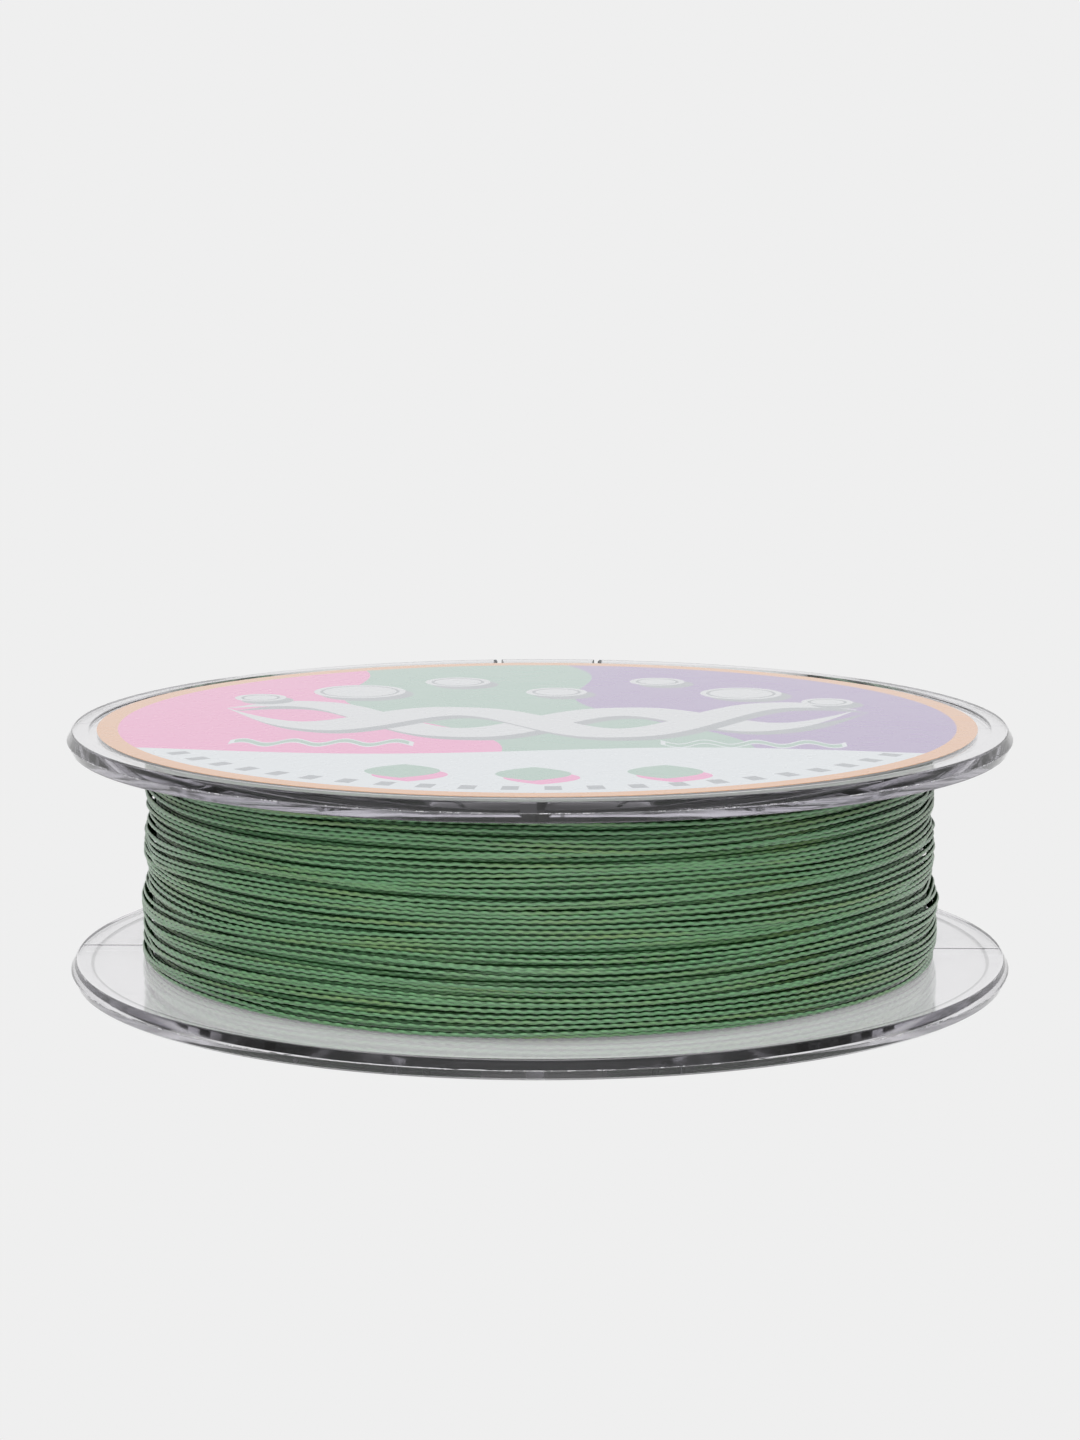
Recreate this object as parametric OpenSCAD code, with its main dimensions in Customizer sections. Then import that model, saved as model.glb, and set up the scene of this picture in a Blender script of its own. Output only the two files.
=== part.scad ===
// Fishing line spool: a clear one-piece moulding with two flanges, a hollow ribbed drum and
// an open hub, the front label that closes the hub, and the braided line wound on the drum.
// The spool lies on its rear flange. +Z is its axis, and the origin is the centre of the
// rear rim's face. The mould's split runs along X, and the line keeper is at +Y.

/* [Flanges] */
// Diameter of both flanges, over the parting line of their rims
flange_d = 70; // [66:0.5:90]
// Thickness of each flange at its rim
flange_t = 1.45; // [1.2:0.05:2.4]
// How far a rim draws in from its parting line to either face
rim_draft = 0.35; // [0.1:0.05:0.6]
// Depth of a rim's parting line below the flange's outer face
rim_split = 0.72; // [0.5:0.02:0.9]
// Width of the flat lip that stands round each outer face
rim_lip = 1.25; // [0.8:0.05:2]

/* [Drum] */
// Diameter that the line is wound on
drum_d = 51.2; // [46:0.2:52]
// Width between the flanges
winding_w = 15.7; // [10:0.1:30]
// Thickness of the drum's wall at the front web
drum_wall = 1.4; // [1:0.1:2.5]
// How much wider the drum's inside is at its mouth than at the web
drum_draft = 0.25; // [0:0.05:0.5]
// Radius of the fillet between the drum's inside and the web
web_fillet = 0.8; // [0.3:0.1:1.5]

/* [Hub] */
// Diameter of the bore, which runs through the hub and the web to the label
bore_d = 20.6; // [8:0.1:24]
// Wall of the hub round the bore
hub_wall = 1.5; // [1:0.1:3]
// Chamfer at both ends of the bore
bore_chamfer = 0.4; // [0.2:0.1:0.8]
// Number of ribs between the hub and the drum
rib_count = 6; // [3:1:10]
// Angle from +X to the first rib
rib_at = 30; // [0:1:60]
// Thickness of a rib at the web
rib_t = 1.5; // [0.8:0.1:2]
// How much thinner a rib is at its free edge
rib_draft = 0.3; // [0:0.05:0.5]
// How far the ribs stop short of the drum's mouth
rib_setback = 1.6; // [0.5:0.1:4]

/* [Line keeper] */
// How much wider a keeper slit is than the line
slit_clearance = 0.1; // [0.04:0.02:0.4]
// Length of a slit, inwards from the rim
slit_depth = 2; // [1.2:0.1:2.4]
// Distance between the two slits along the rim
slit_spacing = 8.3; // [4:0.1:16]

/* [Label] */
// Thickness of the front label
label_t = 0.18; // [0.1:0.02:0.3]
// Bare margin between the label and the wall of its recess
label_margin = 0.8; // [0.4:0.1:2]
// How far the label sits off centre, towards -X
label_shift = 0.2; // [0:0.05:0.4]
// How far the label lies below the rim
label_sink = 0.02; // [0.01:0.01:0.1]

/* [Line] */
// Diameter of the braided line
line_d = 0.36; // [0.2:0.01:0.42]
// Depth of the wound line on the drum, at the front flange
line_depth = 3.55; // [2:0.05:4]
// Turns of the outer layer
line_turns = 18; // [6:1:24]
// Extra depth of the rear part, where the last passes of line lie
rear_build = 0.35; // [0:0.05:0.6]
// Height of a soft ridge that runs round the front part
ridge_build = 0.2; // [0:0.05:0.3]
// Gap between the outer turns and each flange
side_gap = 0.1; // [0.05:0.05:0.3]
// How far the line's free end sags on its way to the keeper
tag_sag = 0.6; // [0.55:0.05:0.9]
// How far the free end reaches into its slit
tag_grip = 0.9; // [0.4:0.1:1.3]

/* [Start tape] */
// Length of the tape that holds the line's inner end, round the drum
tape_l = 14; // [8:1:24]
// Width of the tape, along the drum
tape_w = 9; // [5:0.5:9]
// Thickness of the tape
tape_t = 0.06; // [0.04:0.01:0.1]

/* [Hidden] */

$fn = 96;

// Spool sizes that follow from the ones above
flange_r = flange_d / 2;
face_r = flange_r - rim_draft;
recess_r = face_r - rim_lip;
recess_t = label_t + label_sink;
drum_r = drum_d / 2;
inner_r = drum_r - drum_wall;
mouth_r = inner_r + drum_draft;
bore_r = bore_d / 2;
hub_r = bore_r + hub_wall;
rear_face_z = flange_t;
front_face_z = flange_t + winding_w;
spool_h = front_face_z + flange_t;
web_z = front_face_z;
rim_land = 0.05;
edge_break = 0.1;
mouth_round = 0.4;
fillet_steps = 6;
rib_root = 0.4;
cut_over = 1;

// Line sizes that follow from the ones above
line_r = line_d / 2;
pack_r = drum_r + line_depth;
rings_per_turn = 24;
line_sides = 6;
tag_sides = 8;
coil_low_z = rear_face_z + side_gap + line_r;
coil_high_z = front_face_z - side_gap - line_r;
turn_pitch = (coil_high_z - coil_low_z) / line_turns;
// A turn's straight runs dip this far inside the circle through their ends
run_dip = pack_r * (1 - cos(180 / rings_per_turn));
core_clearance = 0.06;
core_end_gap = 0.03;
core_steps = 40;
skin_gap = 0.02;

// Where the wound line swells, as shares of the winding width from the rear flange
rear_end_at = 0.34;
rear_fade = 0.05;
ridge_at = 0.54;
ridge_spread = 0.045;

// The keeper and the line's free end
slit_w = line_d + slit_clearance;
slit_r = flange_r - slit_depth + slit_w / 2;
slit_turn = asin(slit_spacing / 2 / flange_r);
keeper_at = 90;
tag_slit_at = keeper_at + slit_turn;
coil_end_r = coil_r(coil_high_z);
tag_lead = acos(coil_end_r / slit_r);
coil_end_at = tag_slit_at - tag_lead;
tag_reach = sqrt(slit_r * slit_r - coil_end_r * coil_end_r);
tag_bend = 2.1 * line_d;
tag_low_z = coil_high_z - tag_sag;
tag_top_z = front_face_z + tag_grip;
tag_sag_steps = 20;
tag_bend_steps = 6;
tag_rise_steps = 2;

// A smooth step from 0 to 1 for t from 0 to 1
function ease(t) = let (u = min(max(t, 0), 1)) u * u * (3 - 2 * u);

// A bell of height 1 round a share of the winding width
function bell(share, at, spread) = exp(-pow((share - at) / spread, 2) / 2);

// Radius of the wound line's surface at a height
function surface_r(z) =
    let (share = (z - rear_face_z) / winding_w)
    pack_r
    + rear_build * (1 - ease((share - rear_end_at) / (2 * rear_fade) + 0.5))
    + ridge_build * bell(share, ridge_at, ridge_spread);

// Radius of the outer layer's centreline at a height
function coil_r(z) = surface_r(z) - line_r;

// Radius of the lower layers at a height, just under the outer one
function core_r(z) = surface_r(z) - line_d - run_dip - core_clearance;

// Triangles of an unbroken tube that has rings of the same number of sides
function tube_faces(rings, sides) = concat(
    [for (k = [1:sides - 2]) [0, k, k + 1]],
    [for (i = [0:rings - 2]) for (k = [0:sides - 1])
        let (a = i * sides + k, b = i * sides + (k + 1) % sides)
        [a, a + sides, b]],
    [for (i = [0:rings - 2]) for (k = [0:sides - 1])
        let (a = i * sides + k, b = i * sides + (k + 1) % sides)
        [b, a + sides, b + sides]],
    [for (k = [1:sides - 2])
        let (last = (rings - 1) * sides)
        [last, last + k + 1, last + k]]
);

// Centre and outward angle of each ring of the outer layer, with a straight run at both ends
coil_rings = line_turns * rings_per_turn;
function coil_at(i) = coil_end_at + (i - coil_rings) * 360 / rings_per_turn;
function coil_z(i) = coil_low_z + turn_pitch * i / rings_per_turn;
function coil_centre(i) =
    let (a = coil_at(i), z = coil_z(i), r = coil_r(z))
    [r * cos(a), r * sin(a), z];
function along(angle, run) = [-run * sin(angle), run * cos(angle), 0];
coil_stations = concat(
    [[coil_centre(0) - along(coil_at(0), line_d), coil_at(0)]],
    [for (i = [0:coil_rings]) [coil_centre(i), coil_at(i)]],
    [[coil_centre(coil_rings) + along(coil_end_at, line_d), coil_end_at]]
);

// Points of one ring, with a flat side towards the drum
function coil_ring(centre, angle) = [
    for (k = [0:line_sides - 1])
        let (turn = 360 * (k + 0.5) / line_sides)
        centre + line_r * [cos(turn) * cos(angle), cos(turn) * sin(angle), sin(turn)]
];

// Least distance between the centrelines of turns that lie side by side, less the line
coil_gap = min([
    for (i = [0:coil_rings - rings_per_turn])
        norm(coil_centre(i + rings_per_turn) - coil_centre(i))
]) - line_d;
echo(least_gap_between_turns = coil_gap);

// The free end's route in its upright plane: distance from the coil's end, height, and slope
tag_start = line_d;
tag_sag_end = tag_reach - tag_bend;
tag_route = concat(
    [for (i = [0:tag_sag_steps])
        let (t = i / tag_sag_steps)
        [tag_start + t * (tag_sag_end - tag_start), coil_high_z - tag_sag * ease(t), 0]],
    [for (i = [1:tag_bend_steps])
        let (turn = 90 * i / tag_bend_steps)
        [tag_sag_end + tag_bend * sin(turn), tag_low_z + tag_bend * (1 - cos(turn)), turn]],
    [for (i = [1:tag_rise_steps])
        let (start_z = tag_low_z + tag_bend)
        [tag_reach, start_z + (tag_top_z - start_z) * i / tag_rise_steps, 90]]
);

// Points of one ring of the free end
function tag_ring(stop) =
    let (
        centre = coil_centre(coil_rings) + along(coil_end_at, stop[0])
            + [0, 0, stop[1] - coil_high_z],
        side = [cos(coil_end_at), sin(coil_end_at), 0],
        up = -along(coil_end_at, sin(stop[2])) + [0, 0, cos(stop[2])]
    )
    [for (k = [0:tag_sides - 1])
        let (turn = 360 * (k + 0.5) / tag_sides)
        centre + line_r * (cos(turn) * side + sin(turn) * up)];

// Half section of a flange's rim, from its outer face (y = 0) to its inner face
function rim_edge() = [
    [face_r - edge_break, 0],
    [face_r, edge_break],
    [flange_r, rim_split - rim_land],
    [flange_r, rim_split + rim_land],
    [face_r, flange_t - edge_break],
    [face_r - edge_break, flange_t]
];

// Half section of the whole moulding without its ribs
function spool_section() = concat(
    [[recess_r, recess_t], [recess_r, 0]],
    rim_edge(),
    [[drum_r, rear_face_z], [drum_r, front_face_z]],
    [for (i = [len(rim_edge()) - 1:-1:0]) [rim_edge()[i][0], spool_h - rim_edge()[i][1]]],
    [[recess_r, spool_h], [recess_r, spool_h - recess_t]],
    [[bore_r + bore_chamfer, spool_h - recess_t], [bore_r, spool_h - recess_t - bore_chamfer]],
    [[bore_r, recess_t + bore_chamfer], [bore_r + bore_chamfer, recess_t]],
    [[hub_r, recess_t]],
    [for (i = [0:fillet_steps])
        let (turn = 90 * i / fillet_steps)
        [hub_r + web_fillet * (1 - cos(turn)), web_z - web_fillet * (1 - sin(turn))]],
    [for (i = [0:fillet_steps])
        let (turn = 90 * i / fillet_steps)
        [inner_r - web_fillet * (1 - sin(turn)), web_z - web_fillet * (1 - cos(turn))]],
    [for (i = [0:fillet_steps])
        let (turn = 90 * i / fillet_steps)
        [mouth_r + mouth_round * (1 - cos(turn)), recess_t + mouth_round * (1 - sin(turn))]]
);

module keeper_slit(angle) {
    rotate(angle) {
        translate([slit_r, -slit_w / 2, front_face_z - cut_over])
            cube([slit_depth + cut_over, slit_w, flange_t + 2 * cut_over]);
        translate([slit_r, 0, front_face_z - cut_over])
            cylinder(d = slit_w, h = flange_t + 2 * cut_over);
    }
}

// A rib with draft on both sides, from the hub's wall into the drum's wall
module hub_rib(angle) {
    rib_foot_z = recess_t + rib_setback;
    rib_top_z = web_z + rib_root;
    rotate(angle)
        translate([hub_r - rib_root, 0, 0])
            rotate([90, 0, 90])
                linear_extrude(height = inner_r - hub_r + 2 * rib_root)
                    polygon([
                        [-rib_t / 2, rib_top_z],
                        [rib_t / 2, rib_top_z],
                        [(rib_t - rib_draft) / 2, rib_foot_z],
                        [-(rib_t - rib_draft) / 2, rib_foot_z]
                    ]);
}

module spool_body() {
    color([0.9, 0.92, 0.94, 0.4])
        difference() {
            union() {
                rotate_extrude()
                    polygon(spool_section());
                for (i = [0:rib_count - 1])
                    hub_rib(rib_at + i * 360 / rib_count);
            }
            keeper_slit(keeper_at - slit_turn);
            keeper_slit(keeper_at + slit_turn);
        }
}

module front_label() {
    color([0.93, 0.86, 0.86])
        translate([-label_shift, 0, spool_h - recess_t])
            cylinder(r = recess_r - label_margin, h = label_t);
}

module line_start_tape() {
    tape_turn = tape_l / drum_r * 180 / PI;
    color([0.85, 0.85, 0.8])
        translate([0, 0, rear_face_z + (winding_w - tape_w) / 2])
            rotate(keeper_at - tape_turn / 2)
                rotate_extrude(angle = tape_turn)
                    translate([drum_r + skin_gap, 0])
                        square([tape_t, tape_w]);
}

module line_core() {
    low_z = rear_face_z + core_end_gap;
    high_z = front_face_z - core_end_gap;
    core_bore_r = drum_r + tape_t + 2 * skin_gap;
    color([0.2, 0.36, 0.2])
        rotate_extrude()
            polygon(concat(
                [[core_bore_r, high_z], [core_bore_r, low_z]],
                [for (i = [0:core_steps])
                    let (z = low_z + (high_z - low_z) * i / core_steps)
                    [core_r(z), z]]
            ));
}

module line_outer_layer() {
    color([0.36, 0.56, 0.37])
        polyhedron(
            points = [for (s = coil_stations) for (p = coil_ring(s[0], s[1])) p],
            faces = tube_faces(len(coil_stations), line_sides)
        );
}

module line_tag_end() {
    color([0.36, 0.56, 0.37])
        polyhedron(
            points = [for (stop = tag_route) for (p = tag_ring(stop)) p],
            faces = tube_faces(len(tag_route), tag_sides)
        );
}

spool_body();
front_label();
line_start_tape();
line_core();
line_outer_layer();
line_tag_end();
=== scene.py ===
"""A clear fishing line spool with green braided line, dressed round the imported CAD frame.

The axes are the frame's own: +Z is the spool's axis, the mould splits along X, and the line
keeper is at +Y. Sizes in this script are in millimetres. They are multiplied by MM where an
object is made, because the frame is in metres.
"""

import math

import bmesh
import bpy
import numpy as np
from mathutils import Matrix, Vector


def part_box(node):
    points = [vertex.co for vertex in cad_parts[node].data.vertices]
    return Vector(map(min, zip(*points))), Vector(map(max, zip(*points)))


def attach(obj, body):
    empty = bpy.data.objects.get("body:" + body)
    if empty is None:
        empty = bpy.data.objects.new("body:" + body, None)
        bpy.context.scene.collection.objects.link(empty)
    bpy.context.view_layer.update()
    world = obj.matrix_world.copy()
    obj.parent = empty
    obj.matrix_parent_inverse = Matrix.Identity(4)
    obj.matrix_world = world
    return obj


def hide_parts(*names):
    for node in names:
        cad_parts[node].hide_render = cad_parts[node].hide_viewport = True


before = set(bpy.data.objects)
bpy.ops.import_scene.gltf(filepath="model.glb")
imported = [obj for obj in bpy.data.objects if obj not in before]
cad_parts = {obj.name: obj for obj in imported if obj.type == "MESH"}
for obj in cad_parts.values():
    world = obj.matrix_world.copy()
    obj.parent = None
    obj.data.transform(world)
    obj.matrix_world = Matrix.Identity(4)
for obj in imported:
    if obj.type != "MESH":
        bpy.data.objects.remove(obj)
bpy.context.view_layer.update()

MM = 0.001

# ---------------------------------------------------------------- sizes, in millimetres


def box_mm(node):
    """Lowest and highest corner of a CAD node, in millimetres."""
    return [np.array(corner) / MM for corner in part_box(node)]


body_low, body_high = box_mm("spool_body")
label_low, label_high = box_mm("front_label")
core_low, core_high = box_mm("line_core")

# Flanges: each rim is drafted from its outer and its inner face out to the mould's split.
FLANGE_R = (body_high[0] - body_low[0]) / 2
SPOOL_H = body_high[2]
FLANGE_T = 1.45
RIM_DRAFT = 0.35
RIM_SPLIT = 0.72
RIM_LIP = 1.25
FACE_R = FLANGE_R - RIM_DRAFT
RECESS_R = FACE_R - RIM_LIP
RECESS_T = SPOOL_H - label_low[2]
REAR_FACE_Z = FLANGE_T
FRONT_FACE_Z = SPOOL_H - FLANGE_T
WINDING_W = FRONT_FACE_Z - REAR_FACE_Z

# Drum, web, hub and ribs
DRUM_R = 25.6
INNER_R = 24.2
MOUTH_R = 24.45
BORE_R = 10.3
BORE_CHAMFER = 0.4
HUB_R = 11.8
HUB_BREAK = 0.1
DRUM_ROOT = 0.15
WEB_FILLET = 0.8
MOUTH_ROUND = 0.4
FILLET_STEPS = 8
RIB_COUNT = 6
RIB_START = math.pi / RIB_COUNT
RIB_T = 1.5
RIB_DRAFT = 0.3
RIB_FOOT_Z = RECESS_T + 1.6
RIB_ROOT = 0.4

# Wound line: its surface steps up near the rear flange and has a low ridge past the middle.
LINE_D = 0.36
LINE_R = LINE_D / 2
PACK_R = 29.15
REAR_BUILD = 0.35
REAR_END_AT = 0.34
REAR_FADE = 0.05
RIDGE_BUILD = 0.2
RIDGE_AT = 0.54
RIDGE_SPREAD = 0.045

# Line keeper: two slits in the front rim, either side of +Y. The free end is in the left one.
SLIT_W = 0.46
SLIT_R = FLANGE_R - 2.0 + SLIT_W / 2
SLIT_SPACING = 8.3
SLIT_TURN = math.asin(SLIT_SPACING / 2 / FLANGE_R)
KEEPER_AT = math.pi / 2
TAG_SLIT_AT = KEEPER_AT + SLIT_TURN

# ---------------------------------------------------------------- light levels

# What the camera sees behind the object
PAPER = 0.863

# The room, its darker front side, and where that side ends to the north and at the top
ROOM = 0.8
FRONT_ROOM = 0.3
FRONT_TO_NORTH = (0.6, 0.1)
FRONT_TO_TOP = (0.85, 0.5)

# The key light by the camera: its level, its level in mirrored light, and the cosines of its edge
KEY_LEVEL = 3.5
KEY_MIRRORED = 0.8
KEY_TOWARDS = (0.0, -0.981, 0.194)
KEY_EDGE = 0.86
KEY_FULL = 0.97

# The top light and the heights between which it grows
TOP_LEVEL = 0.8
TOP_SPREAD = (0.75, 0.95)

# The floor: its share in diffuse light, its levels in the spool's shade, and the shade by the
# pack and the lip
FLOOR_BOUNCE = 0.2
UNDER_FLANGE = 0.84
INSIDE_HUB = 0.17
BY_PACK = 0.4
BY_LIP = 0.6

# ---------------------------------------------------------------- mesh helpers


def add_object(name, mesh, material, slot_name, *nodes):
    """Links a piece that rides on the spool and stands in for the CAD nodes named."""
    mesh.materials.clear()
    mesh.materials.append(material)
    piece = bpy.data.objects.new(name, mesh)
    bpy.context.scene.collection.objects.link(piece)
    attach(piece, "root")
    if nodes:
        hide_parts(*nodes)


def mesh_of(name, points, quads):
    """A smooth mesh from points and an array of four-cornered faces."""
    mesh = bpy.data.meshes.new(name)
    points = np.asarray(points, dtype=np.float64) * MM
    quads = np.asarray(quads, dtype=np.int32)
    mesh.vertices.add(len(points))
    mesh.vertices.foreach_set("co", points.astype(np.float32).ravel())
    mesh.loops.add(quads.size)
    mesh.loops.foreach_set("vertex_index", quads.ravel())
    mesh.polygons.add(len(quads))
    mesh.polygons.foreach_set("loop_start", np.arange(0, quads.size, 4, dtype=np.int32))
    mesh.polygons.foreach_set("use_smooth", np.full(len(quads), True))
    mesh.update(calc_edges=True)
    mesh.validate()
    return mesh


def ring_quads(rings, sides, closed=False):
    """Faces between rings of the same number of points. A closed row joins its ends."""
    ring = np.arange(rings if closed else rings - 1)[:, None]
    side = np.arange(sides)[None, :]
    here = ring * sides
    there = ((ring + 1) % rings) * sides
    after = (side + 1) % sides
    corners = [here + side, there + side, there + after, here + after]
    return np.stack(corners, axis=-1).reshape(-1, 4)


def revolved(radius, height, angles):
    """Points at radii, heights and angles about the spool's axis."""
    return np.stack([radius * np.cos(angles), radius * np.sin(angles), height], axis=-1)


STRAND_UV = "strand"


def write_strand_uv(mesh, corner_uv):
    """Writes the place round the strand and the count of stitches for each face corner."""
    layer = mesh.uv_layers.new(name=STRAND_UV)
    layer.data.foreach_set("uv", np.asarray(corner_uv, dtype=np.float32).ravel())


def quarter(centre_r, centre_z, radius, start, end):
    """Points of an arc in a half section, from one angle to another."""
    return [
        (centre_r + radius * math.cos(start + (end - start) * i / FILLET_STEPS),
         centre_z + radius * math.sin(start + (end - start) * i / FILLET_STEPS))
        for i in range(FILLET_STEPS + 1)
    ]


# ---------------------------------------------------------------- the clear spool body

SPOOL_NAME = "clear_spool"
BODY_SEGMENTS = 768
SHARP_FROM = math.radians(22)
LABEL_AIR = 0.012

# The rounded edge of a rim's face, as (inset from the face's radius, height)
EDGE_BREAK = 0.1
EDGE_ROUND = [(EDGE_BREAK, 0.0), (0.06, 0.01), (0.02, 0.045), (0.0, EDGE_BREAK)]

# Rows of points this close to an edge keep the flat next to it flat where the shading is smooth.
RIM_HOLD = 0.02
FLASH_HOLD = 0.01
FACE_HOLD = 0.04

# The flash at the rims' split, and how far it falls back: on average, in slow waves, and at nicks
FLASH_H = 0.045
FLASH_FOOT = 0.06
FLASH_FLANK = (0.03, 0.025)
FLASH_FALL = 0.022
FLASH_WAVES = (5, 9, 14, 23)
FLASH_WAVE_FALL = 0.012
FLASH_NICK = 0.02
FLASH_FALL_MAX = 0.04
REAR_FLASH_SEED = 11
FRONT_FLASH_SEED = 12

# Two sizes closer than this are the same.
SAME_SIZE = 1e-6


def draft_r(z):
    """Radius of the drafted rim at a height between an outer edge and its split."""
    foot_r = FLANGE_R - FLASH_H
    return FACE_R + (foot_r - FACE_R) * (z - EDGE_BREAK) / (RIM_SPLIT - FLASH_FOOT - EDGE_BREAK)


def rim_half_section():
    """A flange's rim, from its outer face at height 0 to its inner face, with its flash."""
    foot_z = RIM_SPLIT - FLASH_FOOT
    low = [(FACE_R - inset, z) for inset, z in EDGE_ROUND]
    low += [(draft_r(z), z) for z in (EDGE_BREAK + RIM_HOLD, foot_z - FLASH_HOLD)]
    low += [(FLANGE_R - FLASH_H, foot_z), (FLANGE_R - FLASH_FLANK[0], RIM_SPLIT - FLASH_FLANK[1])]
    stretch = (FLANGE_T - RIM_SPLIT) / RIM_SPLIT
    high = [
        (r, RIM_SPLIT + (RIM_SPLIT - z) * (stretch if z < RIM_SPLIT / 2 else 1))
        for r, z in reversed(low)
    ]
    return low + [(FLANGE_R, RIM_SPLIT)] + high


def spool_half_section():
    """The moulding's section without its ribs, as one closed row of (radius, height)."""
    rim = rim_half_section()
    recess_floor_z = SPOOL_H - RECESS_T - LABEL_AIR
    flat_to = FACE_R - EDGE_BREAK - FACE_HOLD
    half_pi = math.pi / 2
    rear_flange = (
        [(RECESS_R, RECESS_T), (RECESS_R, 0.0), (flat_to, 0.0)]
        + rim + [(flat_to, REAR_FACE_Z)]
    )
    drum_outside = [
        (DRUM_R + DRUM_ROOT, REAR_FACE_Z), (DRUM_R, REAR_FACE_Z + DRUM_ROOT),
        (DRUM_R, FRONT_FACE_Z - DRUM_ROOT), (DRUM_R + DRUM_ROOT, FRONT_FACE_Z),
    ]
    front_flange = (
        [(flat_to, FRONT_FACE_Z)] + [(r, SPOOL_H - z) for r, z in reversed(rim)]
        + [(flat_to, SPOOL_H), (RECESS_R, SPOOL_H), (RECESS_R, recess_floor_z)]
    )
    hub = [
        (BORE_R + BORE_CHAMFER, recess_floor_z), (BORE_R, recess_floor_z - BORE_CHAMFER),
        (BORE_R, RECESS_T + BORE_CHAMFER), (BORE_R + BORE_CHAMFER, RECESS_T),
        (HUB_R - HUB_BREAK, RECESS_T), (HUB_R, RECESS_T + HUB_BREAK),
    ]
    web_z, mouth_z = FRONT_FACE_Z - WEB_FILLET, RECESS_T + MOUTH_ROUND
    drum_inside = (
        quarter(HUB_R + WEB_FILLET, web_z, WEB_FILLET, math.pi, half_pi)
        + quarter(INNER_R - WEB_FILLET, web_z, WEB_FILLET, half_pi, 0.0)
        + quarter(MOUTH_R + MOUTH_ROUND, mouth_z, MOUTH_ROUND, math.pi, 1.5 * math.pi)
    )
    return rear_flange + drum_outside + front_flange + hub + drum_inside


def flash_of(angles, seed):
    """How far the flash falls back along the rim's split, as a rough row of lengths."""
    rng = np.random.default_rng(seed)
    rough = rng.random(len(angles))
    waves = sum(np.cos(k * angles + rng.uniform(0, 2 * math.pi)) for k in FLASH_WAVES)
    slow = waves / len(FLASH_WAVES)
    fall = FLASH_FALL - FLASH_WAVE_FALL * slow - FLASH_NICK * (rough ** 3)
    return np.clip(fall, 0.0, FLASH_FALL_MAX)


def spool_mesh():
    """The moulding without its ribs, ridges and slits."""
    rows = spool_half_section()
    angles = np.arange(BODY_SEGMENTS) * 2 * math.pi / BODY_SEGMENTS
    radius = np.array([r for r, _ in rows])[:, None] * np.ones(BODY_SEGMENTS)
    height = np.array([z for _, z in rows])[:, None] * np.ones(BODY_SEGMENTS)
    for row, (r, z) in enumerate(rows):
        if abs(r - FLANGE_R) < SAME_SIZE:
            seed = REAR_FLASH_SEED if z < SPOOL_H / 2 else FRONT_FLASH_SEED
            radius[row] -= flash_of(angles, seed)
    points = revolved(radius, height, angles).reshape(-1, 3)
    return mesh_of(SPOOL_NAME, points, ring_quads(len(rows), BODY_SEGMENTS, closed=True))


def solid_between(name, first, last):
    """A closed solid between two outlines of the same number of points."""
    n = len(first)
    points = [(x * MM, y * MM, z * MM) for x, y, z in first + last]
    faces = [tuple(range(n)), tuple(range(2 * n - 1, n - 1, -1))]
    faces += [(i, i + n, (i + 1) % n + n, (i + 1) % n) for i in range(n)]
    mesh = bpy.data.meshes.new(name)
    mesh.from_pydata(points, [], faces)
    return mesh


def prism(name, outline, start, end):
    """A closed solid: an outline of (x, z) drawn out along +Y from start to end."""
    first, last = ([(x, y, z) for x, z in outline] for y in (start, end))
    return solid_between(name, first, last)


def turned(mesh, angle):
    """A mesh made along +Y, turned about the spool's axis to an angle from +X."""
    mesh.transform(Matrix.Rotation(angle - math.pi / 2, 4, "Z"))
    return mesh


def tool_object(mesh):
    """An object for one boolean step, with its faces turned outwards."""
    bm = bmesh.new()
    bm.from_mesh(mesh)
    bmesh.ops.recalc_face_normals(bm, faces=bm.faces)
    bm.to_mesh(mesh)
    bm.free()
    made = bpy.data.objects.new(mesh.name, mesh)
    bpy.context.scene.collection.objects.link(made)
    return made


def cut_or_join(target, tools, operation):
    """Joins tools to a solid, or cuts them from it, and returns the target's new mesh."""
    for tool in tools:
        step = target.modifiers.new(operation, "BOOLEAN")
        step.operation = operation
        step.object = tool
        step.solver = "MANIFOLD"
    graph = bpy.context.evaluated_depsgraph_get()
    mesh = bpy.data.meshes.new_from_object(target.evaluated_get(graph))
    target.modifiers.clear()
    target.data = mesh
    for tool in tools:
        bpy.data.objects.remove(tool)
    return mesh


def rib_mesh(angle):
    """A drafted rib between the hub and the drum."""
    half = RIB_T / 2
    half_free = (RIB_T - RIB_DRAFT) / 2
    top_z = FRONT_FACE_Z + RIB_ROOT
    outline = [(-half, top_z), (half, top_z), (half_free, RIB_FOOT_Z), (-half_free, RIB_FOOT_Z)]
    return turned(prism("rib", outline, HUB_R - RIB_ROOT, INNER_R + RIB_ROOT), angle)


SLIT_STEPS = 12
SLIT_OVER_RIM = 1.0
SLIT_OVER_FACE = 0.3


def slit_mesh(angle):
    """A keeper slit with a round end, to be cut through the front rim from outside."""
    half = SLIT_W / 2
    turns = [math.pi + math.pi * i / SLIT_STEPS for i in range(SLIT_STEPS + 1)]
    plan = [(half * math.cos(turn), SLIT_R + half * math.sin(turn)) for turn in turns]
    plan += [(half, FLANGE_R + SLIT_OVER_RIM), (-half, FLANGE_R + SLIT_OVER_RIM)]
    ends = (FRONT_FACE_Z - SLIT_OVER_FACE, SPOOL_H + SLIT_OVER_FACE)
    low, high = ([(x, y, z) for x, y in plan] for z in ends)
    return turned(solid_between("slit", low, high), angle)


SPLIT_RIDGE_W = 0.18
SPLIT_RIDGE_TOP_W = 0.06
SPLIT_RIDGE_H = 0.09
SPLIT_RIDGE_SINK = 0.05
SPLIT_RIDGE_FROM = DRUM_R + 0.5
SPLIT_RIDGE_TO = FACE_R - 0.25


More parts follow.
